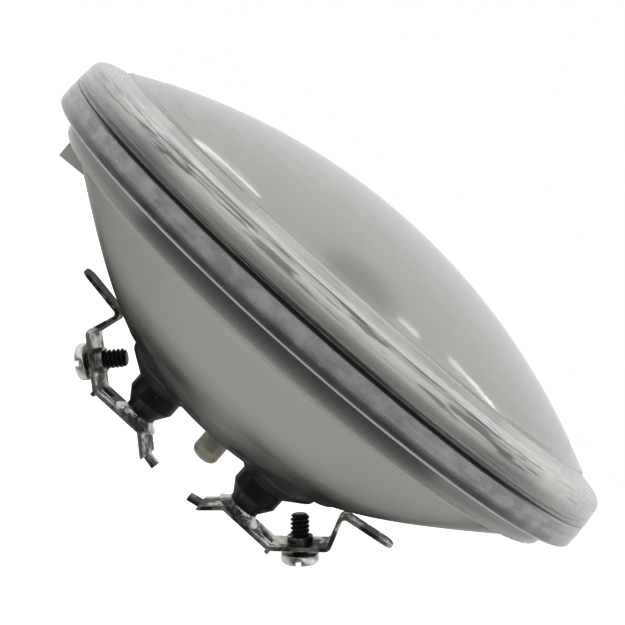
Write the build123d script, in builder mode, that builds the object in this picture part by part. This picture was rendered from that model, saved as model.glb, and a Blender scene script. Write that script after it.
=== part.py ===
from build123d import *
import os
from math import cos, radians, sin, sqrt

# Sealed beam headlamp with screw terminals, in millimetres.
# +Z runs along the optical axis out through the lens, and the terminals lie along X.
# The origin is on the axis, in the middle of the straight band round the rim.

# Rim, where the lens and the reflector are fused together
rim_radius = 57.15
rim_band = 2.0
rim_back_round = 0.5
rim_thickness = 8.8
rim_draft = 0.75
rim_front_round = 2.0
seam_from_back = 4.1
seam_groove = 0.25

# Lens
dome_radius = 51.2
dome_step = 1.45
dome_step_width = 1.4
dome_rise = 12.1
lens_wall = 3.2
cavity_radius = 47.6

# Reflector, with depths measured from the back of the rim
neck_radius = 53.4
neck_depth = 3.2
neck_round = 0.6
neck_fillet = 0.5
ledge_radius = 51.4
shoulder_radius = 44.9
shoulder_depth = 8.7
bowl_depth = 26.9
bowl_side_angle = 40
bowl_side_pull = 26.0
bowl_floor_pull = 18.0
bowl_wall = 3.0
focal_length = 26.5

# Seating lug under the neck
lug_radius = 51.8
lug_depth = 7.8
lug_root = 6.0
lug_start_angle = 160
lug_span = 38

# Exhaust tube, melted shut, a little off the axis
exhaust_offset = 1.1
exhaust_radius = 2.6
exhaust_bore_radius = 1.1
exhaust_length = 7.2
exhaust_end_round = 1.3
exhaust_end_wall = 2.2
exhaust_seat_width = 0.8
exhaust_seat_height = 0.3

# Glass bosses round the two terminals, measured from the bottom of the bowl
terminal_spacing = 25.4
boss_pad_radius = 12.4
boss_pad_inset = 2.5
boss_pad_round = 0.6
boss_root_radius = 9.0
boss_root_inset = 0.1
boss_root_round = 1.2
boss_reach = 2.9
boss_lip = 0.4

# Ferrules, sealed into the bosses
ferrule_radius = 4.7
ferrule_wall = 0.5
ferrule_embed = 1.4
ferrule_skirt = 2.9
ferrule_cone = 2.6
ferrule_stem_radius = 3.0
ferrule_stem = 2.0
ferrule_floor = 2.8
seal_clearance = 0.03
solder_reach = 1.5
solder_height = 1.5

# Lead posts and filament
post_radius = 0.75
post_passage_radius = 2.0
post_straight = 22.0
post_tip_spacing = 9.2
post_tip_length = 6.0
post_bend_radius = 3.0
coil_radius = 0.85
coil_turns = 5
coil_pitch = 0.95
filament_wire_radius = 0.2

# Terminal strips, folded from flat metal
strip_thickness = 0.75
strip_width = 7.4
strip_bend_radius = 0.6
foot_inner_reach = 2.6
foot_outer_reach = 8.2
inner_tab_length = 4.9
inner_tab_angle = 43
inner_lip_length = 2.5
inner_lip_angle = 12
inner_lip_width = 3.1
lip_bend_radius = 1.0
plate_length = 10.3
plate_angle = 42
riser_length = 6.5
riser_lean = 19
outer_tab_length = 11.0
outer_tab_angle = 9
outer_tab_width = 4.0
outer_tab_flat = 0.4
window_length = 2.6
window_width = 2.4
window_past_bend = 0.1
stop_height = 1.4
collar_wall = 0.55
collar_height = 1.2

# Terminal screws, drawn slightly backed off, as delivered
screw_radius = 1.75
screw_length = 7.0
screw_point = 0.4
screw_gap = 1.1
screw_running_clearance = 0.05
head_radius = 3.43
head_height = 1.9
head_round = 0.7
slot_width = 1.0
slot_depth = 1.0

# Heights along the axis
band_top = rim_band / 2
back_face = -rim_band / 2 - rim_back_round
seam = back_face + seam_from_back
rim_front = back_face + rim_thickness
dome_base = rim_front + dome_step
dome_top = dome_base + dome_rise
neck_end = back_face - neck_depth
shoulder_end = back_face - shoulder_depth
bowl_bottom = back_face - bowl_depth
reflector_vertex = bowl_bottom + bowl_wall
focus = reflector_vertex + focal_length
cavity_edge = reflector_vertex + cavity_radius**2 / (4 * focal_length)
exhaust_seat = bowl_bottom - exhaust_seat_height
boss_pad_end = bowl_bottom + boss_pad_inset
boss_root = bowl_bottom + boss_root_inset
boss_end = bowl_bottom - boss_reach
ferrule_mouth = boss_end + ferrule_embed
ferrule_skirt_end = boss_end - ferrule_skirt
ferrule_cone_end = ferrule_skirt_end - ferrule_cone
foot_face = ferrule_cone_end - ferrule_stem
ferrule_floor_face = foot_face + ferrule_floor

# Radii and places worked out from the sizes above
rim_front_radius = rim_radius - rim_draft
seam_radius = rim_radius - rim_draft * (seam - band_top) / (rim_front - band_top)
dome_curve = (dome_radius**2 + dome_rise**2) / (2 * dome_rise)
lens_cavity_curve = dome_curve - lens_wall
dome_centre = dome_top - dome_curve
lens_cavity_edge = dome_centre + sqrt(lens_cavity_curve**2 - cavity_radius**2)
terminal_x = terminal_spacing / 2
exhaust_plane = Plane.XY.move(Location((exhaust_offset, 0, 0)))
sides = {"right": 0, "left": 180}


def axial_plane(turn):
    """A plane through the lamp's axis: its x runs outwards at this angle, its y runs along +Z."""
    outwards = Vector(1, 0, 0).rotate(Axis.Z, turn)
    return Plane(origin=(0, 0, 0), x_dir=outwards, z_dir=outwards.cross(Vector(0, 0, 1)))


def end_plane(turn):
    """The plane through the lamp's axis that faces outwards at this angle: its y runs along +Z."""
    across = axial_plane(turn)
    return Plane(origin=(0, 0, 0), x_dir=-across.z_dir, z_dir=across.x_dir)


def terminal_axis(turn):
    """The line along Z through the middle of the terminal on this side."""
    return Axis(axial_plane(turn).from_local_coords((terminal_x, 0, 0)), (0, 0, 1))


def step_from(point, length, angle):
    """The point that lies this far from another, at an angle from the outward direction."""
    return (point[0] + length * cos(radians(angle)), point[1] + length * sin(radians(angle)))


def folded_plane(outward_plane, point, angle):
    """The plane of a folded stretch of strip: its x runs along the strip, its z to the glass side."""
    run = outward_plane.x_dir * cos(radians(angle)) + Vector(0, 0, sin(radians(angle)))
    place = outward_plane.from_local_coords((*point, 0))
    return Plane(origin=place, x_dir=run, z_dir=outward_plane.z_dir.cross(run))


def finish_piece(piece, name):
    """Names a finished piece and writes its file."""
    piece.part.label = name
    export_step(piece.part, f"parts/{name}.step")


os.makedirs("parts", exist_ok=True)

# Lens: one pressed piece, with its half of the rim, a small step and a shallow dome
with BuildPart() as lens:
    with BuildSketch(Plane.XZ):
        with BuildLine():
            FilletPolyline(
                (cavity_radius, seam),
                (seam_radius - seam_groove, seam),
                (seam_radius, seam + seam_groove),
                (rim_front_radius, rim_front),
                (dome_radius + dome_step_width, rim_front + dome_step / 4),
                (dome_radius, dome_base),
                radius=[0, 0, rim_front_round, dome_step / 2],
            )
            RadiusArc((dome_radius, dome_base), (0, dome_top), -dome_curve)
            Line((0, dome_top), (0, dome_top - lens_wall))
            RadiusArc((0, dome_top - lens_wall), (cavity_radius, lens_cavity_edge), lens_cavity_curve)
            Line((cavity_radius, lens_cavity_edge), (cavity_radius, seam))
        make_face()
    revolve(axis=Axis.Z)
finish_piece(lens, "lens")

# Reflector: one pressed piece, with its half of the rim, the neck, the lug and the terminal bosses
with BuildPart() as reflector:
    with BuildSketch(Plane.XZ):
        with BuildLine():
            FilletPolyline(
                (0, seam),
                (seam_radius - seam_groove, seam),
                (seam_radius, seam - seam_groove),
                (rim_radius, band_top),
                (rim_radius, back_face),
                (neck_radius, back_face),
                (neck_radius, neck_end),
                (ledge_radius, neck_end),
                (shoulder_radius, shoulder_end),
                radius=[0, 0, 0, rim_back_round, neck_fillet, neck_round, neck_fillet],
            )
            Bezier(
                (shoulder_radius, shoulder_end),
                step_from((shoulder_radius, shoulder_end), -bowl_side_pull, bowl_side_angle),
                (bowl_floor_pull, bowl_bottom),
                (0, bowl_bottom),
            )
            Line((0, bowl_bottom), (0, seam))
        make_face()
    revolve(axis=Axis.Z)

    with BuildSketch(axial_plane(lug_start_angle)):
        with BuildLine():
            Polyline(
                (lug_radius - lug_root, neck_end + neck_round),
                (lug_radius, neck_end + neck_round),
                (lug_radius, back_face - lug_depth),
                (lug_radius - lug_root, back_face - lug_depth),
                close=True,
            )
        make_face()
    revolve(axis=Axis.Z, revolution_arc=lug_span)

    for turn in sides.values():
        with BuildSketch(axial_plane(turn)):
            with BuildLine():
                FilletPolyline(
                    (terminal_x, boss_end),
                    (terminal_x + ferrule_radius + boss_lip, boss_end),
                    (terminal_x + boss_root_radius, boss_root),
                    (terminal_x + boss_root_radius, boss_pad_end),
                    (terminal_x + boss_pad_radius, boss_pad_end),
                    (terminal_x + boss_pad_radius, shoulder_end),
                    (terminal_x, shoulder_end),
                    radius=[0, boss_root_round, 0, boss_pad_round, 0],
                )
                Line((terminal_x, shoulder_end), (terminal_x, boss_end))
            make_face()
        revolve(axis=terminal_axis(turn))

    with BuildSketch(exhaust_plane.offset(exhaust_seat)):
        Circle(exhaust_radius + exhaust_seat_width)
    extrude(amount=bowl_wall)

    with BuildSketch(Plane.XZ):
        with BuildLine():
            Bezier((0, reflector_vertex), (cavity_radius / 2, reflector_vertex), (cavity_radius, cavity_edge))
            Polyline((cavity_radius, cavity_edge), (cavity_radius, seam), (0, seam), (0, reflector_vertex))
        make_face()
    revolve(axis=Axis.Z, mode=Mode.SUBTRACT)

    with BuildSketch(Plane.XY.offset(boss_end)):
        for turn in sides.values():
            with Locations(axial_plane(turn).from_local_coords((terminal_x, 0, 0))):
                Circle(ferrule_radius + seal_clearance)
                Circle(ferrule_radius - ferrule_wall - seal_clearance, mode=Mode.SUBTRACT)
    extrude(amount=ferrule_embed, mode=Mode.SUBTRACT)

    with BuildSketch(Plane.XY.offset(boss_end)):
        for turn in sides.values():
            with Locations(axial_plane(turn).from_local_coords((terminal_x, 0, 0))):
                Circle(post_passage_radius)
    extrude(amount=bowl_depth, mode=Mode.SUBTRACT)

    with BuildSketch(exhaust_plane.offset(exhaust_seat)):
        Circle(exhaust_bore_radius)
    extrude(amount=bowl_depth, mode=Mode.SUBTRACT)
finish_piece(reflector, "reflector")

# Exhaust tip: the stub of glass tube through which the lamp was emptied, closed at its end
with BuildPart() as exhaust_tip:
    exhaust_end = exhaust_seat - exhaust_length
    exhaust_bore_end = exhaust_end + exhaust_end_wall
    with BuildSketch(Plane.XZ.move(Location((exhaust_offset, 0, 0)))):
        with BuildLine():
            FilletPolyline(
                (exhaust_bore_radius, exhaust_seat),
                (exhaust_radius, exhaust_seat),
                (exhaust_radius, exhaust_end),
                (0, exhaust_end),
                (0, exhaust_bore_end),
                (exhaust_bore_radius, exhaust_bore_end),
                radius=[0, exhaust_end_round, 0, 0],
            )
            Line((exhaust_bore_radius, exhaust_bore_end), (exhaust_bore_radius, exhaust_seat))
        make_face()
    revolve(axis=Axis(exhaust_plane.origin, (0, 0, 1)))
finish_piece(exhaust_tip, "exhaust_tip")

for side, turn in sides.items():
    outward_plane = axial_plane(turn)
    centre_line = terminal_axis(turn)

    # Ferrule: a drawn metal cup, its thin mouth sealed in the glass and its stem on the strip
    with BuildPart() as ferrule:
        with BuildSketch(outward_plane):
            with BuildLine():
                Polyline(
                    (terminal_x, ferrule_floor_face),
                    (terminal_x + ferrule_stem_radius - ferrule_wall, ferrule_floor_face),
                    (terminal_x + ferrule_radius - ferrule_wall, ferrule_skirt_end + ferrule_wall),
                    (terminal_x + ferrule_radius - ferrule_wall, ferrule_mouth),
                    (terminal_x + ferrule_radius, ferrule_mouth),
                    (terminal_x + ferrule_radius, ferrule_skirt_end),
                    (terminal_x + ferrule_stem_radius, ferrule_cone_end),
                    (terminal_x + ferrule_stem_radius, foot_face),
                    (terminal_x, foot_face),
                    close=True,
                )
            make_face()
        revolve(axis=centre_line)
    finish_piece(ferrule, f"ferrule_{side}")

    # Solder: a low collar of tin that joins the ferrule's stem to the strip
    with BuildPart() as solder:
        with BuildSketch(outward_plane):
            with BuildLine():
                Polyline(
                    (terminal_x + ferrule_stem_radius, foot_face + solder_height),
                    (terminal_x + ferrule_stem_radius, foot_face),
                    (terminal_x + ferrule_stem_radius + solder_reach, foot_face),
                )
                Bezier(
                    (terminal_x + ferrule_stem_radius + solder_reach, foot_face),
                    (terminal_x + ferrule_stem_radius + solder_reach / 3, foot_face + solder_height / 3),
                    (terminal_x + ferrule_stem_radius, foot_face + solder_height),
                )
            make_face()
        revolve(axis=centre_line)
    finish_piece(solder, f"solder_{side}")

    # Lead post: a stiff wire from the floor of the ferrule to one end of the filament
    post_tip_x = post_tip_spacing / 2
    with BuildPart() as post:
        with BuildLine(outward_plane) as post_path:
            FilletPolyline(
                (terminal_x, ferrule_floor_face),
                (terminal_x, ferrule_floor_face + post_straight),
                (post_tip_x, focus + coil_radius - post_tip_length),
                (post_tip_x, focus + coil_radius + 2 * filament_wire_radius),
                radius=post_bend_radius,
            )
        with BuildSketch(Plane.XY.offset(ferrule_floor_face)):
            with Locations(outward_plane.from_local_coords((terminal_x, 0, 0))):
                Circle(post_radius)
        sweep(path=post_path.line)
    finish_piece(post, f"lead_post_{side}")

    # Terminal strip: lip, inner tab, foot, screw plate, riser and outer tab, folded in one piece
    foot_inner = (terminal_x - foot_inner_reach, foot_face)
    foot_outer = (terminal_x + foot_outer_reach, foot_face)
    inner_tab_end = step_from(foot_inner, -inner_tab_length, inner_tab_angle)
    inner_lip_end = step_from(inner_tab_end, -inner_lip_length, inner_lip_angle)
    plate_end = step_from(foot_outer, plate_length, plate_angle)
    riser_end = step_from(plate_end, riser_length, 90 + riser_lean)
    outer_tab_end = step_from(riser_end, outer_tab_length, outer_tab_angle)
    plate_middle = step_from(foot_outer, plate_length / 2, plate_angle)
    lip_plane = folded_plane(outward_plane, inner_lip_end, inner_lip_angle)
    plate_plane = folded_plane(outward_plane, plate_middle, plate_angle)
    window_outer = foot_outer[0] + window_past_bend
    outer_bend_radius = strip_bend_radius + strip_thickness
    bore_radius = screw_radius + screw_running_clearance

    with BuildPart() as strip:
        with BuildSketch(outward_plane):
            with BuildLine():
                FilletPolyline(
                    inner_lip_end,
                    inner_tab_end,
                    foot_inner,
                    foot_outer,
                    plate_end,
                    riser_end,
                    outer_tab_end,
                    radius=[
                        lip_bend_radius,
                        outer_bend_radius,
                        strip_bend_radius,
                        strip_bend_radius,
                        outer_bend_radius,
                    ],
                )
                offset(amount=strip_thickness, side=Side.RIGHT)
            make_face()
        extrude(amount=strip_width / 2, both=True)

        # The riser narrows from the plate's width to the outer tab's
        with BuildSketch(end_plane(turn)):
            with BuildLine():
                Polyline(
                    (0, inner_lip_end[1] - strip_thickness),
                    (strip_width / 2, inner_lip_end[1] - strip_thickness),
                    (strip_width / 2, plate_end[1]),
                    (outer_tab_width / 2, riser_end[1] - outer_bend_radius),
                    (outer_tab_width / 2, outer_tab_end[1] + strip_thickness),
                    (0, outer_tab_end[1] + strip_thickness),
                )
                mirror(about=Plane.YZ)
            make_face()
        extrude(amount=outer_tab_end[0] + strip_thickness, mode=Mode.INTERSECT)
        outer_tab_tip = strip.faces().sort_by(Axis((0, 0, 0), outward_plane.x_dir))[-1]
        fillet(outer_tab_tip.edges().sort_by(SortBy.LENGTH)[:2], outer_tab_width / 2 - outer_tab_flat / 2)

        # The lip at the end of the inner tab is narrower than the tab
        with BuildSketch(lip_plane):
            Rectangle(2 * inner_lip_length, strip_width)
            Rectangle(2 * inner_lip_length, inner_lip_width, mode=Mode.SUBTRACT)
        extrude(amount=strip_width / 2, both=True, mode=Mode.SUBTRACT)

        # A window over the bend, and the tongue from it, which stops the wire
        with BuildSketch(outward_plane):
            with Locations((window_outer - window_length / 2, foot_face)):
                Rectangle(window_length, 2 * window_length)
        extrude(amount=window_width / 2, both=True, mode=Mode.SUBTRACT)
        with BuildSketch(outward_plane):
            with Locations((window_outer, foot_face - strip_thickness - stop_height)):
                Rectangle(strip_thickness, stop_height + strip_thickness, align=(Align.MIN, Align.MIN))
        extrude(amount=window_width / 2, both=True)

        # The collar drawn out of the plate, with the hole for the screw
        with BuildSketch(plate_plane):
            Circle(bore_radius + collar_wall)
        extrude(amount=collar_height)
        with BuildSketch(plate_plane):
            Circle(bore_radius)
        extrude(amount=collar_height + strip_thickness, both=True, mode=Mode.SUBTRACT)
    finish_piece(strip, f"terminal_strip_{side}")

    # Terminal screw: slotted head behind the plate, shank through the collar
    head_plane = plate_plane.offset(-strip_thickness - screw_gap)
    screw_axis = Axis(head_plane.origin, head_plane.z_dir)
    with BuildPart() as screw:
        with BuildSketch(head_plane):
            Circle(head_radius)
        extrude(amount=-head_height)
        fillet(screw.faces().sort_by(screw_axis)[0].edges(), head_round)
        with BuildSketch(head_plane):
            Circle(screw_radius)
        extrude(amount=screw_length)
        chamfer(screw.faces().sort_by(screw_axis)[-1].edges(), screw_point)
        with BuildSketch(head_plane.offset(-head_height)):
            Rectangle(slot_width, 2 * head_radius)
        extrude(amount=slot_depth, mode=Mode.SUBTRACT)
    finish_piece(screw, f"terminal_screw_{side}")

# Filament: a coil at the focus of the reflector, with a straight leg to each post
coil_length = coil_turns * coil_pitch
leg_length = post_tip_spacing / 2 - post_radius - coil_length / 2
coil_top = focus + coil_radius
with BuildPart() as filament:
    with BuildLine(Plane.XY.offset(focus)) as coil_path:
        Helix(coil_pitch, coil_length, coil_radius, center=(-coil_length / 2, 0, 0), direction=(1, 0, 0))
    with BuildSketch(coil_path.line ^ 0):
        Circle(filament_wire_radius)
    sweep(path=coil_path.line, is_frenet=True)
    for turn in sides.values():
        with BuildSketch(end_plane(turn).offset(coil_length / 2)):
            with Locations((0, coil_top)):
                Circle(filament_wire_radius)
        extrude(amount=leg_length)
finish_piece(filament, "filament")
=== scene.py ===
# %% [markdown]
# A sealed beam headlamp is two pressed pieces of glass, melted together at the rim. The front piece is
# the lens, the back piece is a bowl with a film of aluminium inside, and two folded strips of metal at
# the back take the wires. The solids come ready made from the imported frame, in metres, with the lens
# facing +Z. This lesson gives them their finishes, adds the detail that solids leave out, and lights them.

# %% Load the lamp
from math import cos, pi, radians, sin, sqrt

import bmesh
import bpy
from mathutils import Matrix, Vector


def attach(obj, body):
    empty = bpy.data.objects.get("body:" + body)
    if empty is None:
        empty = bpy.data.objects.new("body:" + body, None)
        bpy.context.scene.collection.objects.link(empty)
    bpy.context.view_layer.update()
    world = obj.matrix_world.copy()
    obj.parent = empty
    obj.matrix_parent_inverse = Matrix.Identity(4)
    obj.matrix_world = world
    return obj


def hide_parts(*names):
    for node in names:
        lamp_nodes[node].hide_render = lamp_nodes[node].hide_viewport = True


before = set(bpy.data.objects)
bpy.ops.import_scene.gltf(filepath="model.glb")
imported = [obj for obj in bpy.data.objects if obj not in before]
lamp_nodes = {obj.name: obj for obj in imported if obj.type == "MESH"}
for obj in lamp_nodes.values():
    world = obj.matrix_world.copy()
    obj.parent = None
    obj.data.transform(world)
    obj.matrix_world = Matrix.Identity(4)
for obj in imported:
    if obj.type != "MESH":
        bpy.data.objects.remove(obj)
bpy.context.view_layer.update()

# %% [markdown]
# The camera stands close to the lamp, a little above the rim, and is rolled so that the lens looks up to
# the right. A camera can be aimed with a constraint, but a roll is easier to state when the three axes of
# the camera are worked out from its yaw, pitch and roll and put straight into its matrix.

# %% Place the camera
picture_side = 625
focal_pixels = 987.35
camera_place = Vector((0.00523, -0.17523, 0.01777))
yaw, pitch, roll = -0.0367, -0.1155, 0.7246

ahead = Vector((sin(yaw) * cos(pitch), cos(yaw) * cos(pitch), sin(pitch)))
level = Vector((cos(yaw), -sin(yaw), 0))
above = level.cross(ahead)
camera_right = cos(roll) * level + sin(roll) * above
camera_up = cos(roll) * above - sin(roll) * level

camera_data = bpy.data.cameras.new("side_camera")
camera_data.sensor_width = 36
camera_data.lens = camera_data.sensor_width * focal_pixels / picture_side
camera_data.clip_start = 0.01
camera = bpy.data.objects.new("side_camera", camera_data)
bpy.context.scene.collection.objects.link(camera)
turn = Matrix((camera_right, camera_up, -ahead)).transposed()
camera.matrix_world = Matrix.Translation(camera_place) @ turn.to_4x4()
bpy.context.scene.camera = camera
print("camera lens", round(camera_data.lens, 1), "mm")

# %% [markdown]
# The tent, the floor and every finish of the lamp are node trees. Adding and linking nodes takes several
# lines each time, so a few short helpers do it. An amount between 0 and 1 says how much a place belongs to
# a zone, such as the burnt ring on the rim: both() is where two zones overlap and either() joins them.

# %% Node helpers
def add_node(tree, kind, **settings):
    """A new node with these settings."""
    made = tree.nodes.new(kind)
    for name, value in settings.items():
        setattr(made, name, value)
    return made


def feed(tree, socket, value):
    """Gives a socket a constant, or a link from another node."""
    if isinstance(value, bpy.types.NodeSocket):
        tree.links.new(value, socket)
    else:
        socket.default_value = value


def reckon(tree, operation, *values):
    """A sum on plain numbers."""
    made = add_node(tree, "ShaderNodeMath", operation=operation)
    for socket, value in zip(made.inputs, values):
        feed(tree, socket, value)
    return made.outputs[0]


def both(tree, *amounts):
    """Where all of these zones overlap."""
    joined = amounts[0]
    for amount in amounts[1:]:
        joined = reckon(tree, "MULTIPLY", joined, amount)
    return joined


def either(tree, *amounts):
    """Where any of these zones lies."""
    joined = amounts[0]
    for amount in amounts[1:]:
        joined = reckon(tree, "MAXIMUM", joined, amount)
    return joined


def beyond(tree, amount):
    """Everything outside a zone."""
    return reckon(tree, "SUBTRACT", 1.0, amount)


def within(tree, value, middle, reach):
    """Where a value is no further than this from a middle."""
    off = reckon(tree, "ABSOLUTE", reckon(tree, "SUBTRACT", value, middle))
    return reckon(tree, "LESS_THAN", off, reach)


def ramp(tree, value, low, high, at_low, at_high):
    """Runs smoothly from one number to another while a value goes from low to high."""
    made = add_node(tree, "ShaderNodeMapRange", interpolation_type="SMOOTHSTEP")
    for socket, number in zip(made.inputs, (value, low, high, at_low, at_high)):
        feed(tree, socket, number)
    return made.outputs[0]


def blend(tree, amount, first, second):
    """Two colours, or a colour and a link, mixed by an amount."""
    made = add_node(tree, "ShaderNodeMix", data_type="RGBA")
    feed(tree, made.inputs["Factor"], amount)
    for socket, value in ((made.inputs[6], first), (made.inputs[7], second)):
        feed(tree, socket, value if isinstance(value, bpy.types.NodeSocket) else (*value, 1))
    return made.outputs[2]


print("node helpers ready")

# %% [markdown]
# Glass and bright metal have almost no look of their own: they show the room. The room here is a white
# tent, open towards the camera, so the glass gets a dark band where it faces us. A dome of area lights
# would do as well, but the world shader is simpler, because it can be made dark in chosen directions. The
# camera itself sees plain white behind the lamp.

# %% White tent
tent = bpy.data.worlds.new("white_tent")
bpy.context.scene.world = tent
tent.use_nodes = True
tree = tent.node_tree
toward = add_node(tree, "ShaderNodeTexCoord").outputs["Generated"]
parts = add_node(tree, "ShaderNodeSeparateXYZ")
tree.links.new(toward, parts.inputs[0])
_, tent_y, tent_z = parts.outputs
level_part = reckon(tree, "SQRT", reckon(tree, "SUBTRACT", 1.0, reckon(tree, "MULTIPLY", tent_z, tent_z)))
facing_us = reckon(tree, "DIVIDE", reckon(tree, "MULTIPLY", tent_y, -1.0), level_part)
open_wide = ramp(tree, facing_us, 0.58, 0.93, 0.0, 0.93)
open_high = ramp(tree, reckon(tree, "ABSOLUTE", tent_z), 0.12, 0.34, 1.0, 0.0)
walls = ramp(tree, tent_z, -0.7, 0.7, 0.55, 1.0)
tent_light = both(tree, walls, beyond(tree, both(tree, open_wide, open_high)))
print("tent walls worked out from", len(tree.nodes), "nodes")

# %% [markdown]
# One dark spot above and behind the lamp, such as a hook would make, is mirrored as a soft smudge at the
# foot of the dome. Its direction was found by mirroring a line of sight there.

# %% Hook in the tent
hook_direction = (0.0, 0.60, 0.80)

from_hook = add_node(tree, "ShaderNodeVectorMath", operation="DISTANCE")
tree.links.new(toward, from_hook.inputs[0])
from_hook.inputs[1].default_value = hook_direction
tent_light = both(tree, tent_light, ramp(tree, from_hook.outputs["Value"], 0.05, 0.14, 0.03, 1.0))
seen = add_node(tree, "ShaderNodeLightPath").outputs["Is Camera Ray"]
sky = tree.nodes["Background"]
feed(tree, sky.inputs["Strength"], either(tree, tent_light, seen))
feed(tree, sky.inputs["Color"], (1, 1, 1, 1))
bpy.context.scene.view_settings.view_transform = "Standard"
print("tent has", len(tree.nodes), "nodes")

# %% [markdown]
# The floor lies well below the lamp, which is made to be held by its rim and can't stand by itself. From
# below, the floor is left clear, so that the back of the lamp can be looked at.

# %% Floor
floor_z = -0.15
floor_half = 4.0

floor_mesh = bpy.data.meshes.new("studio_floor")
shape = bmesh.new()
bmesh.ops.create_grid(shape, x_segments=8, y_segments=8, size=floor_half)
shape.to_mesh(floor_mesh)
shape.free()
floor = bpy.data.objects.new("studio_floor", floor_mesh)
floor.location.z = floor_z
bpy.context.scene.collection.objects.link(floor)

paper = bpy.data.materials.new("pale_paper")
paper.use_nodes = True
tree = paper.node_tree
shader = tree.nodes["Principled BSDF"]
shader.inputs["Roughness"].default_value = 0.9
from_below = add_node(tree, "ShaderNodeNewGeometry").outputs["Backfacing"]
feed(tree, shader.inputs["Alpha"], beyond(tree, from_below))
floor_mesh.materials.append(paper)
print("floor at", floor_z)

# %% [markdown]
# Floor and tent should look equally white to the camera, yet a shadow has to stay on the floor. So the
# floor glows a little for the camera, and the rest of its brightness is real light that the lamp can block.
# A curved white sheet lies under the lamp. Beyond it the table is dark, and far behind it is pale again.
# Only reflections see that: glass and metal show their form by what they reflect, and in an all-white room
# they would look flat.

# %% Sheet and table
sheet_white = (0.78, 0.78, 0.77)
floor_glow = 0.6

on_floor = add_node(tree, "ShaderNodeTexCoord").outputs["Object"]
parts = add_node(tree, "ShaderNodeSeparateXYZ")
tree.links.new(on_floor, parts.inputs[0])
floor_x, floor_y, _ = parts.outputs
aside = reckon(tree, "ABSOLUTE", floor_x)
curved = add_node(tree, "ShaderNodeCombineXYZ")
feed(tree, curved.inputs["X"], reckon(tree, "MULTIPLY", floor_x, 0.4))
feed(tree, curved.inputs["Y"], reckon(tree, "MULTIPLY_ADD", aside, -0.9, floor_y))
distance = add_node(tree, "ShaderNodeVectorMath", operation="LENGTH")
tree.links.new(curved.outputs[0], distance.inputs[0])

rays = add_node(tree, "ShaderNodeLightPath")
seen = rays.outputs["Is Camera Ray"]
off_sheet = both(tree, ramp(tree, distance.outputs["Value"], 0.06, 0.15, 0.0, 1.0), beyond(tree, seen))
near_table = both(tree, ramp(tree, floor_y, -0.35, 0.05, 0.08, 0.46),
                  ramp(tree, floor_y, 0.08, 0.26, 1.0, 0.16))
far_table = ramp(tree, reckon(tree, "ADD", floor_y, aside), 0.42, 0.60, 0.0, 0.8)
table_grey = blend(tree, either(tree, near_table, far_table), (0, 0, 0), (1, 1, 0.98))
feed(tree, shader.inputs["Base Color"], blend(tree, off_sheet, sheet_white, table_grey))
bright = either(tree, seen, both(tree, rays.outputs["Is Transmission Ray"], 0.5))
feed(tree, shader.inputs["Emission Color"], (1, 1, 1, 1))
feed(tree, shader.inputs["Emission Strength"], both(tree, bright, floor_glow))
print("sheet and table have", len(tree.nodes), "nodes")

# %% [markdown]
# Each finish is one Principled shader, so that it also survives the export. Where a finish changes over a
# piece, such as the film of aluminium that covers only the inside of the bowl, a number worked out from
# the place on the piece drives the shader's sockets. Object coordinates are used, because the solids sit
# in their own frame, in metres, and need no unwrapping.

# %% Finish helpers
def new_finish(name):
    """A new material: its node tree and its shader."""
    finish = bpy.data.materials.new(name)
    finish.use_nodes = True
    return finish, finish.node_tree, finish.node_tree.nodes["Principled BSDF"]


def far_off(tree, one_way, other_way):
    """How far off a place is that lies this much one way and that much the other."""
    squares = [reckon(tree, "MULTIPLY", step, step) for step in (one_way, other_way)]
    return reckon(tree, "SQRT", reckon(tree, "ADD", *squares))


def spot(tree):
    """Where on the piece the shader is, as one vector and as x, y, z and the distance from the axis."""
    vector = add_node(tree, "ShaderNodeTexCoord").outputs["Object"]
    parts = add_node(tree, "ShaderNodeSeparateXYZ")
    tree.links.new(vector, parts.inputs[0])
    x, y, z = parts.outputs
    return vector, x, y, z, far_off(tree, x, y)


def cloud(tree, vector, size, detail=3.0, squash=(1, 1, 1)):
    """Soft noise with lumps of about this size in metres, squashed along the axes."""
    scaled = add_node(tree, "ShaderNodeVectorMath", operation="MULTIPLY")
    tree.links.new(vector, scaled.inputs[0])
    scaled.inputs[1].default_value = squash
    made = add_node(tree, "ShaderNodeTexNoise")
    tree.links.new(scaled.outputs[0], made.inputs["Vector"])
    made.inputs["Scale"].default_value = 1 / size
    made.inputs["Detail"].default_value = detail
    return made.outputs["Fac"]


def relief(tree, shader, height, depth):
    """Bump from a height between 0 and 1, this deep in metres."""
    made = add_node(tree, "ShaderNodeBump")
    made.inputs["Strength"].default_value = 1.0
    made.inputs["Distance"].default_value = depth
    tree.links.new(height, made.inputs["Height"])
    tree.links.new(made.outputs[0], shader.inputs["Normal"])


def dress(finish, *names):
    """Puts a finish on solids of the lamp."""
    for name in names:
        for slot in lamp_nodes[name].material_slots:
            slot.material = finish
    print(finish.name, "on", ", ".join(names))


print("finish helpers ready")

# %% [markdown]
# Glass shows every flaw of a mesh, because each facet bends what is seen through it. The lens is round, so
# a finer one is easy to make: its outline is drawn once and spun about the axis. These two tools draw an
# outline. One rounds a corner with an arc, and the other adds points to long straight stretches.

# %% Outline tools
mm = 0.001


def round_corner(before, corner, after, size, steps):
    """Points on the arc that rounds one corner of an outline."""
    corner = Vector(corner)
    back = (Vector(before) - corner).normalized()
    on = (Vector(after) - corner).normalized()
    half = back.angle(on) / 2
    middle = corner + (back + on).normalized() * size / sin(half)
    first = corner + back * size * cos(half) / sin(half) - middle
    last = corner + on * size * cos(half) / sin(half) - middle
    sweep = pi - 2 * half
    points = []
    for k in range(steps + 1):
        t = k / steps
        points.append(middle + (first * sin((1 - t) * sweep) + last * sin(t * sweep)) / sin(sweep))
    return points


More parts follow.
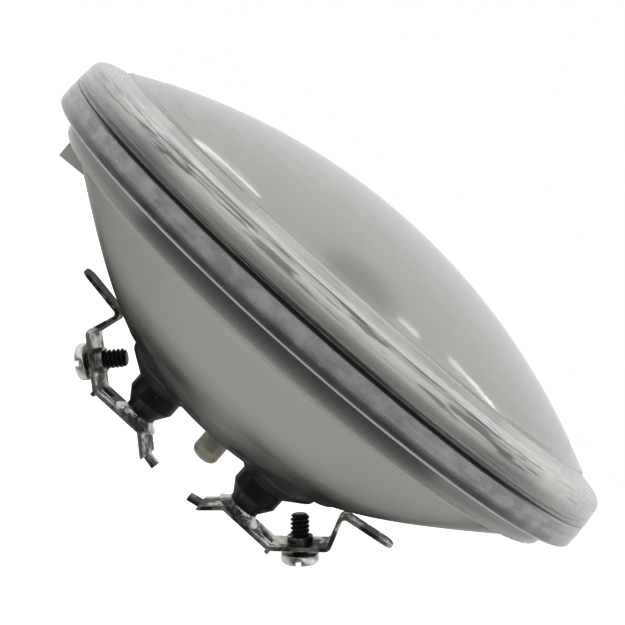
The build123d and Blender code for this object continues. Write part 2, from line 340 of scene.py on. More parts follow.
def fill_in(points, spacing):
    """The same outline with more points, none further apart than this."""
    filled = [Vector(points[0])]
    for a, b in zip(points, points[1:]):
        a, b = Vector(a), Vector(b)
        count = max(1, int((b - a).length / spacing + 0.999))
        filled += [a.lerp(b, (k + 1) / count) for k in range(count)]
    return filled


print("outline tools ready")

# %% [markdown]
# A spun mesh is a stack of rings, one for each point of the outline, with a band of four-sided faces
# between each ring and the next. The screws are made from rings too, so these tools know nothing of the
# lens. Turning all faces outwards at the end matters for glass, whose shader has to know whether light is
# going in or coming out.

# %% Ring tools
def add_rings(shape, rings, finish_index):
    """Joins rings of points with faces, all of one finish."""
    made = [[shape.verts.new(point) for point in ring] for ring in rings]
    for low, high in zip(made, made[1:]):
        for i in range(len(low)):
            j = (i + 1) % len(low)
            face = shape.faces.new((low[i], low[j], high[j], high[i]))
            face.material_index = finish_index
            face.smooth = True
    return made


def close_ends(shape, rings, finish_index):
    """Closes the first and the last ring of points with one flat face each."""
    for ring in (rings[0], rings[-1]):
        face = shape.faces.new(ring)
        face.material_index = finish_index
        face.smooth = True


def plain_object(shape, name):
    """A mesh object from a finished shape, with its faces turned outwards."""
    bmesh.ops.recalc_face_normals(shape, faces=shape.faces)
    mesh = bpy.data.meshes.new(name)
    shape.to_mesh(mesh)
    shape.free()
    made = bpy.data.objects.new(name, mesh)
    bpy.context.scene.collection.objects.link(made)
    return made


print("ring tools ready")

# %% [markdown]
# The lens is a shallow cap of a large sphere, with a small step at its foot and its half of the rim below
# that. The hollow inside is part of a second sphere round the same centre. All sizes are those of the
# solid, with one difference: the face that joins the bowl lies a hair above the seam, because two faces in
# exactly the same place make black spots in a render.

# %% Outline of the lens
dome_centre_z = -0.09352
outer_curve = 0.11437
inner_curve = 0.11117
hollow_radius = 0.0476
dome_foot_z = 0.00875
seam_z = 0.0026
joint_z = seam_z + 0.00004
groove_edge = (0.05671, seam_z)
groove_floor = (0.0560, joint_z)
rim_low = (0.05696, seam_z + 0.00025)
rim_front = (0.0564, 0.0073)
step_foot = (0.0526, 0.00766)
dome_foot = (0.0512, dome_foot_z)
dome_radius = 0.0508
cap_radius = 0.0005
dome_steps = 44


def dome_height(curve, radius):
    """How high one of the two spheres is at a distance from the axis."""
    return dome_centre_z + sqrt(curve**2 - radius**2)


def dome_points(curve, from_radius, to_radius):
    """Points on one of the two spheres, between two distances from the axis."""
    radii = [from_radius + (to_radius - from_radius) * k / dome_steps for k in range(dome_steps + 1)]
    return [Vector((radius, dome_height(curve, radius))) for radius in radii]


outer_dome = dome_points(outer_curve, cap_radius, dome_radius)
rim = [dome_foot]
rim += round_corner(dome_foot, step_foot, rim_front, 0.725 * mm, 8)
rim += round_corner(step_foot, rim_front, rim_low, 2.0 * mm, 16)
rim = fill_in(rim + [rim_low], 0.11 * mm)
hollow_edge = (hollow_radius, dome_height(inner_curve, hollow_radius))
wall = fill_in([groove_edge, groove_floor, (hollow_radius, joint_z), hollow_edge], 1.0 * mm)
inner_dome = dome_points(inner_curve, hollow_radius - 0.3 * mm, cap_radius)
print("outline of the lens has", len(outer_dome + rim + wall + inner_dome), "points")

# %% [markdown]
# The mould left fine rings on the rim. Here they are real ridges, one or two hundredths of a millimetre
# high: three waves of different lengths, each of which drifts on its way round, so that no two stretches
# of the rim are alike. Blender's Screw modifier could spin the outline too, but it would give the same
# outline all the way round. The ridges fade at both ends of the rim, where it meets the dome and the seam.

# %% Spin the lens
segments = 300
angles = [2 * pi * i / segments for i in range(segments)]
fade_rings = 8


def mould_ring(run, angle):
    """Height of the mould's ridges at a place along the outline and round the axis."""
    return (0.010 * mm * sin(2 * pi * run / (0.90 * mm) + 0.9 * sin(3 * angle + 1.0))
            + 0.007 * mm * sin(2 * pi * run / (0.55 * mm) + 1.2 * sin(5 * angle))
            + 0.008 * mm * sin(2 * pi * run / (1.70 * mm) + 1.5 * sin(2 * angle + 2.0)))


def turned(point, angle):
    """A point of the outline, turned about the axis."""
    return Vector((point.x * cos(angle), point.x * sin(angle), point.y))


def smooth_rings(points):
    """Rings of points from a stretch of the outline."""
    return [[turned(point, angle) for angle in angles] for point in points]


def ridged_rings(points):
    """Rings of points with the mould's ridges on them."""
    rings, run, last = [], 0.0, len(points) - 1
    for k, point in enumerate(points):
        before, after = points[max(k - 1, 0)], points[min(k + 1, last)]
        outwards = Vector(((before - after).y, (after - before).x)).normalized()
        run += (point - before).length
        fade = min(1.0, k / fade_rings, (last - k) / fade_rings)
        rings.append([turned(point + outwards * mould_ring(run, angle) * fade, angle) for angle in angles])
    return rings


shape = bmesh.new()
made = add_rings(shape, smooth_rings(outer_dome) + ridged_rings(rim) + smooth_rings(wall + inner_dome), 0)
close_ends(shape, made, 0)
fine_lens = plain_object(shape, "fine_lens")
fine_lens.data.set_sharp_from_angle(angle=radians(28))
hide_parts("lens")
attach(fine_lens, "lamp")
print("lens has", len(fine_lens.data.polygons), "faces")

# %% [markdown]
# The lens is clear pressed glass. Its outside is smooth, and its inside is stippled to spread the beam,
# which makes the dome milky while the rim stays clear. Painting these zones by hand would need an unwrapped
# mesh. The shader finds them by their place instead: the stipple belongs to the inner surface alone, so it
# asks how far it is from the centre of the dome's curve.

# %% Zones of the lens
stipple_radius = 0.0466
stipple_fade = 0.0011
groove_reach = 0.0003
groove_radius = 0.0562


def in_groove(tree, z, radius):
    """The groove round the rim, where lens and bowl meet."""
    return both(tree, within(tree, z, seam_z, groove_reach),
                reckon(tree, "GREATER_THAN", radius, groove_radius))


finish, tree, shader = new_finish("pressed_lens_glass")
vector, x, y, z, radius = spot(tree)
aside = reckon(tree, "ABSOLUTE", x)
from_centre = far_off(tree, radius, reckon(tree, "SUBTRACT", z, dome_centre_z))
in_hollow = both(tree, reckon(tree, "LESS_THAN", from_centre, inner_curve + 0.0008),
                 reckon(tree, "LESS_THAN", radius, hollow_radius + 0.0002))
wander = reckon(tree, "MULTIPLY_ADD", cloud(tree, vector, 0.02), 0.0015, radius)
stipple = ramp(tree, wander, stipple_radius, stipple_radius + stipple_fade, 1.0, 0.0)
groove = in_groove(tree, z, radius)
on_rim = reckon(tree, "GREATER_THAN", radius, dome_foot[0])
joint = both(tree, within(tree, z, joint_z, 0.00003), reckon(tree, "LESS_THAN", radius, 0.0530))
on_step = both(tree, ramp(tree, z, 0.0070, 0.0075, 0.0, 1.0),
               ramp(tree, z, dome_foot_z, dome_foot_z + 0.0004, 1.0, 0.0))
print("zones of the lens worked out from", len(tree.nodes), "nodes")

# %% [markdown]
# Pressed glass isn't perfect. The chilled mould left drawn-out lines round the rim. Shade is painted in as
# well:
# a dark band on the inner wall at the seam, and at the front of the rim a painted shade over the seam and the
# lower rim, where the lines are painted darker too; it fades towards the ends. Painted light makes the
# stippled inside paler towards the ends, and the groove at the front is painted black as painted shade. The
# lines come from noise that is stretched round the axis. A wave texture would be too regular for them.

# %% Colour of the lens
clear_glass = (0.95, 0.95, 0.92)
inner_seam_shade_grey = (0.25, 0.26, 0.25)
stippled_glass = (0.81, 0.81, 0.77)
stipple_painted_light = (1.0, 1.0, 0.97)
line_and_shade_grey = (0.20, 0.21, 0.20)
film_silver = (0.85, 0.86, 0.85)
seam_shade_black = (0.03, 0.03, 0.03)
groove_shade_black = (0.02, 0.02, 0.02)

# Painted shade: the inner wall of the hollow is darkened at the seam, for the dark band that the seam shows.
inner_seam_shade = both(tree, in_hollow, ramp(tree, z, seam_z - 0.0002, seam_z + 0.0016, 1.0, 0.0))
glass = blend(tree, inner_seam_shade, clear_glass, inner_seam_shade_grey)
# Painted light: the stippled inside is paler towards the ends.
frost = blend(tree, ramp(tree, aside, 0.024, 0.044, 0.0, 1.0), stippled_glass, stipple_painted_light)
glass = blend(tree, both(tree, in_hollow, stipple), glass, frost)

across = add_node(tree, "ShaderNodeCombineXYZ")
for socket, value in zip(across.inputs, (x, y, reckon(tree, "SUBTRACT", z, radius))):
    feed(tree, socket, value)
lines = cloud(tree, across.outputs[0], 0.0008, 2.0, squash=(0.09, 0.09, 1))
line_zone = both(tree, ramp(tree, z, 0.0048, 0.0058, 0.0, 1.0), ramp(tree, z, 0.0072, 0.0076, 1.0, 0.2))
at_front = ramp(tree, aside, 0.034, 0.054, 1.0, 0.15)
# Painted shade at the front of the rim, fading towards the ends: the drawn lines are painted darker there,
# and the rim above the seam is darkened.
shaded_front_rim = both(tree, on_rim, at_front)
lines_and_shade = both(tree, shaded_front_rim, line_zone, ramp(tree, lines, 0.50, 0.61, 0.0, 0.95))
lower_rim_shade = both(tree, shaded_front_rim, ramp(tree, z, 0.0042, 0.0060, 0.85, 0.0))
glass = blend(tree, either(tree, lines_and_shade, lower_rim_shade), glass, line_and_shade_grey)
glass = blend(tree, joint, glass, film_silver)

smear = cloud(tree, vector, 0.012, 4.0)
# Painted shade: a near-black band over the seam at the front of the rim.
front_seam_shade = both(tree, shaded_front_rim, ramp(tree, z, 0.0030, 0.0037, 0.96, 0.0),
            ramp(tree, smear, 0.30, 0.48, 0.45, 1.0))
glass = blend(tree, front_seam_shade, glass, seam_shade_black)
# Painted shade: the groove is painted black at the front.
feed(tree, shader.inputs["Base Color"], blend(tree, both(tree, groove, at_front), glass, groove_shade_black))
print("colour of the lens worked out from", len(tree.nodes), "nodes")

# %% [markdown]
# How clear the glass is depends on its surface. The stippled inside is rough, so what lies behind it is
# blurred. The outside has the fine haze of handling and dust, so the streaks of light on it are soft. The
# film of aluminium reaches into the joint, which looks silvery through the glass.

# %% Clearness of the lens
skin_rough = reckon(tree, "MULTIPLY_ADD", on_step, 0.20, ramp(tree, smear, 0.35, 0.75, 0.05, 0.11))
inner_rough = both(tree, in_hollow, ramp(tree, stipple, 0.0, 1.0, 0.30, 0.55))
rough = either(tree, skin_rough, inner_rough, both(tree, groove, 0.6), both(tree, joint, 0.4))
feed(tree, shader.inputs["Roughness"], rough)
haze = both(tree, on_rim, ramp(tree, z, seam_z + 0.0006, seam_z + 0.0024, 0.0, 1.0),
            ramp(tree, smear, 0.3, 0.7, 0.30, 0.50))
feed(tree, shader.inputs["Transmission Weight"], beyond(tree, either(tree, groove, joint, haze)))
feed(tree, shader.inputs["Metallic"], both(tree, joint, 0.9))
shader.inputs["IOR"].default_value = 1.5
relief(tree, shader, cloud(tree, vector, 0.0012, 4.0, squash=(0.02, 0.02, 1)), 0.00002)
fine_lens.data.materials.append(finish)
print(finish.name, "on the lens")

# %% [markdown]
# The bowl is glass too, but its hollow is coated with aluminium, so from behind it looks like satin metal
# under a skin of glass. Only the rim, outside the coated hollow, is clear enough to look into. The film
# could be a mesh of its own, but that would be a second surface in the same place as the glass. It follows
# the curve of the hollow, a parabola, so the shader can tell the film from the skin by its place.

# %% Zones of the bowl
bowl_vertex_z = -0.0254
bowl_focal = 0.0265
rim_back_z = -0.0015
hollow_wall_z = -0.0042
lug_inner_radius = 0.0456
lug_top_z = -0.0062
lug_middle_slope, lug_half_slope = -0.02, 0.346

finish, tree, shader = new_finish("aluminised_bowl_glass")
vector, x, y, z, radius = spot(tree)
aside = reckon(tree, "ABSOLUTE", x)
radius_squared = reckon(tree, "MULTIPLY", radius, radius)
curve_z = reckon(tree, "MULTIPLY_ADD", radius_squared, 1 / (4 * bowl_focal), bowl_vertex_z)
on_curve = within(tree, reckon(tree, "SUBTRACT", z, curve_z), 0.0, 0.0003)
on_wall = both(tree, reckon(tree, "LESS_THAN", radius, hollow_radius + 0.0002),
               reckon(tree, "GREATER_THAN", z, hollow_wall_z))
on_film = either(tree, on_curve, on_wall)
behind_rim = ramp(tree, z, rim_back_z - 0.0005, rim_back_z - 0.0001, 1.0, 0.0)
outside = both(tree, behind_rim, beyond(tree, on_film))
groove = in_groove(tree, z, radius)
corner = both(tree, ramp(tree, z, rim_back_z + 0.0002, rim_back_z + 0.0004, 1.0, 0.0),
              beyond(tree, behind_rim), reckon(tree, "GREATER_THAN", radius, 0.0563))
neck = ramp(tree, z, -0.0049, -0.0030, 0.0, 1.0)
slope = reckon(tree, "DIVIDE", y, x)
lug = both(tree, reckon(tree, "GREATER_THAN", radius, lug_inner_radius),
           reckon(tree, "LESS_THAN", z, lug_top_z), reckon(tree, "LESS_THAN", x, 0.0),
           within(tree, slope, lug_middle_slope, lug_half_slope))
print("zones of the bowl worked out from", len(tree.nodes), "nodes")

# %% [markdown]
# The sealing flame has burnt a cloudy ring into the film on the rim, and left a haze on the glass there.
# Noise added to a height or a distance makes a ragged edge: the zone then ends a little sooner here and a
# little later there.

# %% Burnt ring
mottle = cloud(tree, vector, 0.0028, 6.0, squash=(1, 1, 1.4))
ring_z = reckon(tree, "MULTIPLY_ADD", reckon(tree, "SUBTRACT", mottle, 0.5), 0.0007, z)
burnt = both(tree, on_wall, ramp(tree, ring_z, -0.0012, 0.0002, 0.0, 1.0),
             ramp(tree, ring_z, 0.0008, 0.0019, 1.0, 0.0))
ends = ramp(tree, aside, 0.030, 0.052, 0.0, 1.0)
haze_foot = ramp(tree, ends, 0.0, 1.0, 0.22, 0.85)
haze = both(tree, ramp(tree, ring_z, -0.0004, 0.0008, haze_foot, 1.0),
            ramp(tree, ring_z, seam_z - 0.0005, seam_z - 0.0001, 1.0, 0.0),
            ramp(tree, mottle, 0.3, 0.7, 0.20, 0.42), reckon(tree, "GREATER_THAN", radius, groove_floor[0]))
print("burnt ring worked out from", len(tree.nodes), "nodes")

# %% [markdown]
# Shade and the reflection of the terminals are painted round them: the glass is dark there, in a wide patch
# that is drawn out in streaks, and paler midway between the two terminals. The bottom of the bowl gets
# painted shade too.

# %% Painted shade round the terminals
terminal_x = 0.0127

from_terminal = far_off(tree, reckon(tree, "SUBTRACT", aside, terminal_x), y)
ragged = reckon(tree, "MULTIPLY_ADD", cloud(tree, vector, 0.006, 4.0), 0.008, from_terminal)
# Painted shade and painted reflection of the terminals: a dark patch round them, paler midway between.
terminal_shade = both(tree, ramp(tree, ragged, 0.0220, 0.0430, 0.88, 0.0), ramp(tree, aside, 0.0, 0.014, 0.45, 1.0))
drawn = cloud(tree, vector, 0.0022, 3.0, squash=(0.15, 0.15, 1))
# Painted shade at the bottom of the bowl, lighter in the middle and drawn out in streaks.
low = both(tree, ramp(tree, z, -0.0210, -0.0135, 1.0, 0.0), ramp(tree, aside, 0.0, 0.010, 0.50, 1.0),
           ramp(tree, drawn, 0.35, 0.60, 0.72, 1.0))
print("dark glass worked out from", len(tree.nodes), "nodes")

# %% [markdown]
# The colour is built up like paint, one zone over another: the cloudy grey of the skin, with painted light
# that makes it paler at the sides, then painted shade at the bottom and on the neck, painted light on the
# front end of the lug, and painted shade round the terminals. A painted highlight runs along the back corner
# of the rim, and the groove gets painted shade. Seen from inside the glass the skin is silver, because there
# the film is in front of it. Backfacing tells the shader that it is looked at from inside.

# %% Colour of the bowl
skin_dark, skin_light, skin_side_painted_light = (0.47, 0.465, 0.433), (0.60, 0.595, 0.557), (0.82, 0.81, 0.76)
bottom_shade_black = (0.05, 0.05, 0.047)
neck_shade_front, neck_shade_end = (0.30, 0.295, 0.275), (0.52, 0.515, 0.485)
lug_side, lug_end_painted_light = (0.42, 0.42, 0.41), (0.85, 0.85, 0.83)
terminal_shade_black = (0.07, 0.07, 0.065)
inside_silver = (0.66, 0.67, 0.66)
film_plain, film_dark, film_white = (0.62, 0.63, 0.62), (0.45, 0.45, 0.44), (0.90, 0.90, 0.88)
rim_glass, corner_painted_highlight = (0.93, 0.95, 0.93), (0.86, 0.86, 0.84)

cloudy = cloud(tree, vector, 0.015, 4.0)
bowl_grey = blend(tree, cloudy, skin_dark, skin_light)
# Painted light: the skin is paler towards the sides.
bowl_grey = blend(tree, ramp(tree, aside, 0.018, 0.040, 0.0, 0.6), bowl_grey, skin_side_painted_light)
# Painted shade at the bottom of the bowl.
bowl_grey = blend(tree, low, bowl_grey, bottom_shade_black)
# Painted shade: the neck is darkened, most at the front and less towards the ends.
bowl_grey = blend(tree, neck, bowl_grey, blend(tree, ends, neck_shade_front, neck_shade_end))
# Painted light: the front end of the lug is paler than its side.
lug_lit_grey = blend(tree, ramp(tree, slope, 0.29, 0.31, 0.0, 1.0), lug_side, lug_end_painted_light)
bowl_grey = blend(tree, lug, bowl_grey, lug_lit_grey)
# Painted shade round the terminals.
bowl_grey = blend(tree, terminal_shade, bowl_grey, terminal_shade_black)
from_inside = add_node(tree, "ShaderNodeNewGeometry").outputs["Backfacing"]
bowl_grey = blend(tree, from_inside, bowl_grey, inside_silver)
film_grey = blend(tree, burnt, film_plain, blend(tree, mottle, film_dark, film_white))
metal = either(tree, behind_rim, on_film)
skin = blend(tree, metal, rim_glass, blend(tree, on_film, bowl_grey, film_grey))
# Painted highlight: a pale line along the back corner of the rim.
skin = blend(tree, corner, skin, corner_painted_highlight)
# Painted shade: the groove is painted black, less so towards the ends.
in_shade = both(tree, groove, ramp(tree, ends, 0.0, 1.0, 1.0, 0.3))
feed(tree, shader.inputs["Base Color"], blend(tree, in_shade, skin, groove_shade_black))
print("colour of the bowl worked out from", len(tree.nodes), "nodes")

# %% [markdown]
# Film and skin are metallic, the rim is clear, and the ring, the neck and the lug are dull. Metal that is
# seen at a flat angle turns white, which would hide the painted shade at the bottom of the bowl. Specular
# Tint holds that back. A thin coat gives the gloss of the glass over the film, with much less of it in the
# painted shade round the terminals.

# %% Gloss of the bowl
under_neck = both(tree, ramp(tree, z, -0.0060, -0.0047, 0.0, 0.9), ramp(tree, z, -0.0045, -0.0020, 1.0, 0.35))
dull_skin = both(tree, outside, beyond(tree, from_inside), either(tree, both(tree, lug, 0.9), under_neck))
dull = either(tree, dull_skin, both(tree, burnt, 0.9))
feed(tree, shader.inputs["Metallic"], both(tree, metal, beyond(tree, dull), 0.9))
feed(tree, shader.inputs["Transmission Weight"], beyond(tree, either(tree, metal, groove, corner, haze)))

bowl_rough = both(tree, ramp(tree, cloudy, 0.3, 0.7, 0.26, 0.38), ramp(tree, z, -0.0075, -0.0040, 1.0, 0.45),
                  ramp(tree, z, -0.0255, -0.0190, 0.40, 1.0))
skin_rough = both(tree, outside, either(tree, bowl_rough, both(tree, terminal_shade, 0.5)))
film_rough = both(tree, on_film, reckon(tree, "MULTIPLY_ADD", burnt, 0.5, 0.10))
rim_rough = ramp(tree, cloudy, 0.35, 0.75, 0.03, 0.10)
rough = either(tree, film_rough, skin_rough, both(tree, groove, 0.6), rim_rough)
feed(tree, shader.inputs["Roughness"], rough)
shader.inputs["IOR"].default_value = 1.5
shader.inputs["Specular Tint"].default_value = (0.25, 0.25, 0.25, 1)
feed(tree, shader.inputs["Coat Weight"], both(tree, beyond(tree, terminal_shade), 0.2))
shader.inputs["Coat Roughness"].default_value = 0.12
dress(finish, "reflector")

# %% [markdown]
# The stub of glass tube was melted shut in a flame. It is thick, a little yellow and full of fine marks,
# so it is a glass that passes only half of the light.

# %% Stub of tube
finish, tree, shader = new_finish("melted_tube_glass")
vector, x, y, z, radius = spot(tree)
draw_marks = cloud(tree, vector, 0.002, 4.0, squash=(1, 1, 0.3))
feed(tree, shader.inputs["Base Color"], blend(tree, draw_marks, (0.34, 0.32, 0.24), (0.66, 0.64, 0.54)))
feed(tree, shader.inputs["Roughness"], ramp(tree, draw_marks, 0.3, 0.7, 0.12, 0.30))
shader.inputs["Transmission Weight"].default_value = 0.45
shader.inputs["IOR"].default_value = 1.5
relief(tree, shader, draw_marks, 0.00025)
dress(finish, "exhaust_tip")

# %% [markdown]
# The ferrules went through the sealing flame too, and came out black: a scale of oxide over the metal,
# rubbed thin here and there. A rough dark metal with noise in its colour and relief looks like that.

# %% Flame-blackened ferrules
finish, tree, shader = new_finish("flame_blackened_metal")
vector, x, y, z, radius = spot(tree)
scale = cloud(tree, vector, 0.0016, 5.0)
drawn = cloud(tree, vector, 0.0012, 2.0, squash=(1, 1, 0.12))
rubbed = ramp(tree, reckon(tree, "MULTIPLY", scale, drawn), 0.30, 0.50, 0.0, 1.0)
feed(tree, shader.inputs["Base Color"], blend(tree, rubbed, (0.012, 0.012, 0.012), (0.09, 0.085, 0.075)))
feed(tree, shader.inputs["Roughness"], ramp(tree, scale, 0.3, 0.7, 0.34, 0.55))
shader.inputs["Metallic"].default_value = 0.55
relief(tree, shader, scale, 0.00006)
dress(finish, "ferrule_left", "ferrule_right")

# %% [markdown]
# The terminal strips were punched from sheet metal, folded and plated with nickel, which has gone dull and
# brown in blotches. Edges of sheet metal are never quite sharp, and a rounded edge is what catches the
# light. The Bevel node rounds the shading at edges without touching the mesh. Compared with the true
# normal, it also tells where an edge is, and there the plating is rubbed bright.

# %% Tarnished strips
def soft_edges(tree, size):
    """A normal that rounds the edges, and how near an edge is, from 0 to 1."""
    rounded = add_node(tree, "ShaderNodeBevel", samples=6)
    rounded.inputs["Radius"].default_value = size
    plain = add_node(tree, "ShaderNodeNewGeometry")
    likeness = add_node(tree, "ShaderNodeVectorMath", operation="DOT_PRODUCT")
    tree.links.new(rounded.outputs[0], likeness.inputs[0])
    tree.links.new(plain.outputs["Normal"], likeness.inputs[1])
    return rounded.outputs[0], ramp(tree, likeness.outputs["Value"], 0.75, 0.98, 1.0, 0.0)


finish, tree, shader = new_finish("tarnished_nickel")
vector, x, y, z, radius = spot(tree)
rounded, edge = soft_edges(tree, 0.00025)
blotch = cloud(tree, vector, 0.0045, 5.0)
specks = cloud(tree, vector, 0.0009, 4.0)
rolled = cloud(tree, vector, 0.0008, 2.0, squash=(0.08, 1, 0.08))
dull = ramp(tree, reckon(tree, "MULTIPLY_ADD", specks, 0.35, blotch), 0.54, 0.76, 0.0, 1.0)
plating = blend(tree, rolled, (0.44, 0.42, 0.37), (0.70, 0.68, 0.62))
stained = blend(tree, dull, plating, (0.05, 0.045, 0.033))
rubbed = both(tree, edge, 0.3)
feed(tree, shader.inputs["Base Color"], blend(tree, rubbed, stained, (0.66, 0.645, 0.60)))
feed(tree, shader.inputs["Roughness"], ramp(tree, dull, 0.0, 1.0, 0.26, 0.52))
shader.inputs["Metallic"].default_value = 0.9
marks = add_node(tree, "ShaderNodeBump")
marks.inputs["Distance"].default_value = 0.00005
tree.links.new(reckon(tree, "ADD", rolled, specks), marks.inputs["Height"])
tree.links.new(rounded, marks.inputs["Normal"])
tree.links.new(marks.outputs[0], shader.inputs["Normal"])
dress(finish, "terminal_strip_left", "terminal_strip_right")

# %% [markdown]
# Each ferrule is soldered to its strip. Solder freezes with a bright skin that is dimpled and dull in
# patches, so roughness and relief both come from the same noise.

# %% Solder
finish, tree, shader = new_finish("bright_solder")
vector, x, y, z, radius = spot(tree)
dimples = cloud(tree, vector, 0.0018, 3.0)
frost = cloud(tree, vector, 0.0006, 4.0)
feed(tree, shader.inputs["Base Color"], blend(tree, frost, (0.44, 0.435, 0.41), (0.80, 0.79, 0.76)))
feed(tree, shader.inputs["Roughness"], ramp(tree, frost, 0.35, 0.65, 0.16, 0.42))
shader.inputs["Metallic"].default_value = 0.95
relief(tree, shader, dimples, 0.0004)
dress(finish, "solder_left", "solder_right")

# %% [markdown]
# Inside the bowl, seen through the lens from the front, stand two stiff nickel wires with the coil of
# tungsten between them. Drawn wire has fine lines along it, and the coil is darker and duller.

# %% Wires inside
finish, tree, shader = new_finish("drawn_nickel_wire")
vector, x, y, z, radius = spot(tree)
die_lines = cloud(tree, vector, 0.0007, 3.0, squash=(1, 1, 0.05))
feed(tree, shader.inputs["Base Color"], blend(tree, die_lines, (0.42, 0.41, 0.39), (0.64, 0.63, 0.60)))
feed(tree, shader.inputs["Roughness"], ramp(tree, die_lines, 0.3, 0.7, 0.18, 0.38))
shader.inputs["Metallic"].default_value = 1.0
relief(tree, shader, die_lines, 0.00003)
dress(finish, "lead_post_left", "lead_post_right")

finish, tree, shader = new_finish("tungsten_wire")
vector, x, y, z, radius = spot(tree)
crystals = cloud(tree, vector, 0.0004, 3.0)
feed(tree, shader.inputs["Base Color"], blend(tree, crystals, (0.16, 0.16, 0.17), (0.34, 0.34, 0.35)))
feed(tree, shader.inputs["Roughness"], ramp(tree, crystals, 0.3, 0.7, 0.30, 0.50))
shader.inputs["Metallic"].default_value = 1.0
relief(tree, shader, crystals, 0.00002)
dress(finish, "filament")

# %% [markdown]
# The head of each terminal screw is bright and a little dirty, and its shank is nearly black. One mesh can
# carry two materials, chosen face by face, so head and shank need not be two objects.

# %% Screw finishes
finish, tree, shader = new_finish("bright_screw_head")
vector, x, y, z, radius = spot(tree)
rounded, edge = soft_edges(tree, 0.0002)
lathe_marks = cloud(tree, vector, 0.0007, 3.0)
wear = cloud(tree, vector, 0.0022, 4.0)
dirty = ramp(tree, wear, 0.48, 0.72, 0.0, 1.0)
feed(tree, shader.inputs["Base Color"], blend(tree, dirty, (0.74, 0.73, 0.69), (0.20, 0.18, 0.14)))
feed(tree, shader.inputs["Roughness"], ramp(tree, lathe_marks, 0.3, 0.7, 0.16, 0.34))
shader.inputs["Metallic"].default_value = 1.0
tree.links.new(rounded, shader.inputs["Normal"])
head_finish = finish

finish, tree, shader = new_finish("nearly_black_thread")
vector, x, y, z, radius = spot(tree)
shank_mottle = cloud(tree, vector, 0.0015, 4.0)
# The shank is nearly black, with a faint mottle.
feed(tree, shader.inputs["Base Color"], blend(tree, shank_mottle, (0.012, 0.012, 0.012), (0.055, 0.05, 0.045)))
feed(tree, shader.inputs["Roughness"], ramp(tree, shank_mottle, 0.3, 0.7, 0.28, 0.5))
shader.inputs["Metallic"].default_value = 0.8
relief(tree, shader, shank_mottle, 0.00003)
shank_finish = finish
print("screw finishes ready")

# %% [markdown]
# A thread is too fine for the solids, so the screws are made anew. The shank is a stack of rings, and the
# radius of each point follows the thread's profile, which climbs one pitch in each turn. That keeps every
# face a clean four-sided one. A profile swept along a helix would also give a thread, but with ends that
# have to be closed by hand.

# %% Threaded shank
thread_radius = 0.00175
thread_depth = 0.00040
thread_pitch = 0.0008
shank_length = 0.007
shank_point = 0.0004


def thread_profile(turns):
    """How high the thread is, from 0 at the root to 1 at the crest, for a place counted in turns."""
    u = turns % 1.0
    return min(1.0, max(0.0, (abs(u - 0.5) - 0.08) / 0.30))


def shank_rings(around=40, along=150):
    """The shank as rings of points, from the head to the point, in the screw's own frame."""
    rings = []
    for k in range(along + 1):
        height = shank_length * k / along
        cap = thread_radius - max(0.0, height - (shank_length - shank_point))
        ring = []
        for i in range(around):
            angle = 2 * pi * i / around
            cut = thread_depth * (1 - thread_profile(height / thread_pitch - i / around))
            ring.append(turned(Vector((min(thread_radius - cut, cap), height)), angle))
        rings.append(ring)
    return rings


print("shank has", len(shank_rings()), "rings")

# %% [markdown]
# A screw's head is turned on a lathe and its slot is sawn. The mesh is made in the same way: the head is
# spun from its outline, and a Boolean modifier cuts the slot with a box. The modifier's result is kept as a
# plain mesh, so that the box can be thrown away.

# %% Slotted head
head_radius = 0.00343
head_height = 0.0019
head_round = 0.0007
head_edge = 0.00012
head_flat = 0.0012
head_segments = 48
slot_width = 0.0010
slot_depth = 0.0010


def head_outline(steps=8):
    """Radius and height down the head, from the shank to the flat middle of its top."""
    outline = [(thread_radius * 0.7, 0.0), (head_radius - head_edge, 0.0), (head_radius, -head_edge)]
    round_start = head_round - head_height
    for i in range(steps + 1):
        angle = radians(90) * i / steps
        outline.append((head_radius - head_round * (1 - cos(angle)), round_start - head_round * sin(angle)))
    return [Vector(point) for point in outline + [(head_flat, -head_height)]]


def cut_slot(head):
    """Cuts the screwdriver slot into the head."""
    box = bmesh.new()
    bmesh.ops.create_cube(box, size=1.0)
    for point in box.verts:
        point.co.x *= slot_width
        point.co.y *= head_radius * 3
        point.co.z = point.co.z * 2 * slot_depth - head_height
    cutter = plain_object(box, "slot_cutter")
    cut = head.modifiers.new("slot", "BOOLEAN")
    cut.operation = "DIFFERENCE"
    cut.solver = "EXACT"
    cut.object = cutter
    slotted = bpy.data.meshes.new_from_object(head.evaluated_get(bpy.context.evaluated_depsgraph_get()))
    head.modifiers.clear()
    head.data = slotted
    bpy.data.objects.remove(cutter)


print("head is", head_radius * 2000, "mm across")

# %% [markdown]
# Each screw stands in the collar of its terminal plate, which leans. The screw is made upright and then
# turned into its place, so its own frame stays simple. It replaces the plain solid and rides on that
# solid's body, so it moves when the screw is undone.

# %% Two screws
plate_angle = radians(42)
head_place = (0.025965, -0.036729)


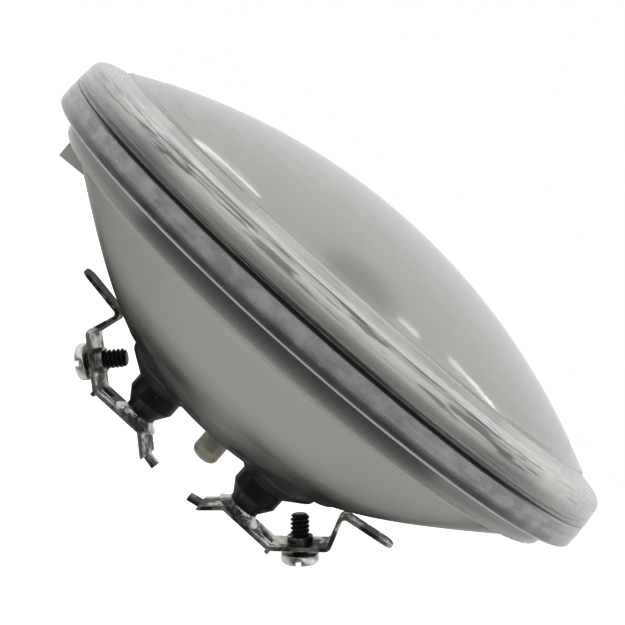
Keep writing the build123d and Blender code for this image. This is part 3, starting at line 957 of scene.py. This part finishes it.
def terminal_screw(name, side):
    """One screw in its place; side is 1 on the right and -1 on the left."""
    shape = bmesh.new()
    head_angles = [2 * pi * i / head_segments for i in range(head_segments)]
    made = add_rings(shape, [[turned(point, angle) for angle in head_angles] for point in head_outline()], 0)
    close_ends(shape, made, 0)
    screw = plain_object(shape, name)
    bpy.context.view_layer.update()
    cut_slot(screw)

    shape = bmesh.new()
    shape.from_mesh(screw.data)
    made = add_rings(shape, shank_rings(), 1)
    close_ends(shape, made, 1)
    bmesh.ops.recalc_face_normals(shape, faces=shape.faces)
    along = Vector((-side * sin(plate_angle), 0, cos(plate_angle)))
    across = Vector((side * cos(plate_angle), 0, sin(plate_angle)))
    lean = Matrix((across, along.cross(across), along)).transposed().to_4x4()
    place = Matrix.Translation((side * head_place[0], 0, head_place[1])) @ lean
    bmesh.ops.transform(shape, matrix=place, verts=shape.verts)
    screw.data.materials.append(head_finish)
    screw.data.materials.append(shank_finish)
    shape.to_mesh(screw.data)
    shape.free()
    return screw


for label, side in (("left", -1), ("right", 1)):
    screw = terminal_screw(f"threaded_screw_{label}", side)
    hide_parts(f"terminal_screw_{label}")
    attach(screw, f"screw_{label}")
    print(screw.name, len(screw.data.polygons), "faces")

# %% [markdown]
# Three slim lights hang above and behind the lamp. They are so dim that they hardly light it, but smooth
# glass mirrors them as white streaks along the foot of the dome. Each is an area light between two
# directions as seen from the lamp, found by following a line of sight to the foot of the dome and
# mirroring it there. White strips painted into the tent would be mirrored too, but with softer ends.

# %% Strip lights
light_distance = 0.8


def strip_light(name, from_direction, to_direction, width, power):
    """A slim light that shines at the lamp, stretched between two directions."""
    start = Vector(from_direction).normalized() * light_distance
    end = Vector(to_direction).normalized() * light_distance
    data = bpy.data.lights.new(name, "AREA")
    data.shape = "RECTANGLE"
    data.size = (end - start).length
    data.size_y = width
    data.energy = power
    light = bpy.data.objects.new(name, data)
    away = ((start + end) / 2).normalized()
    along = (end - start).normalized()
    turn = Matrix((along, away.cross(along), away)).transposed().to_4x4()
    light.matrix_world = Matrix.Translation((start + end) / 2) @ turn
    bpy.context.scene.collection.objects.link(light)
    print(name, round(data.size, 2), "m long")


strip_light("strip_light_left", (-0.447, 0.662, 0.602), (-0.291, 0.574, 0.765), 0.012, 0.035)
strip_light("strip_light_right", (0.475, 0.666, 0.575), (0.258, 0.616, 0.744), 0.013, 0.05)
strip_light("strip_light_end", (0.185, 0.570, 0.801), (0.122, 0.558, 0.821), 0.010, 0.011)
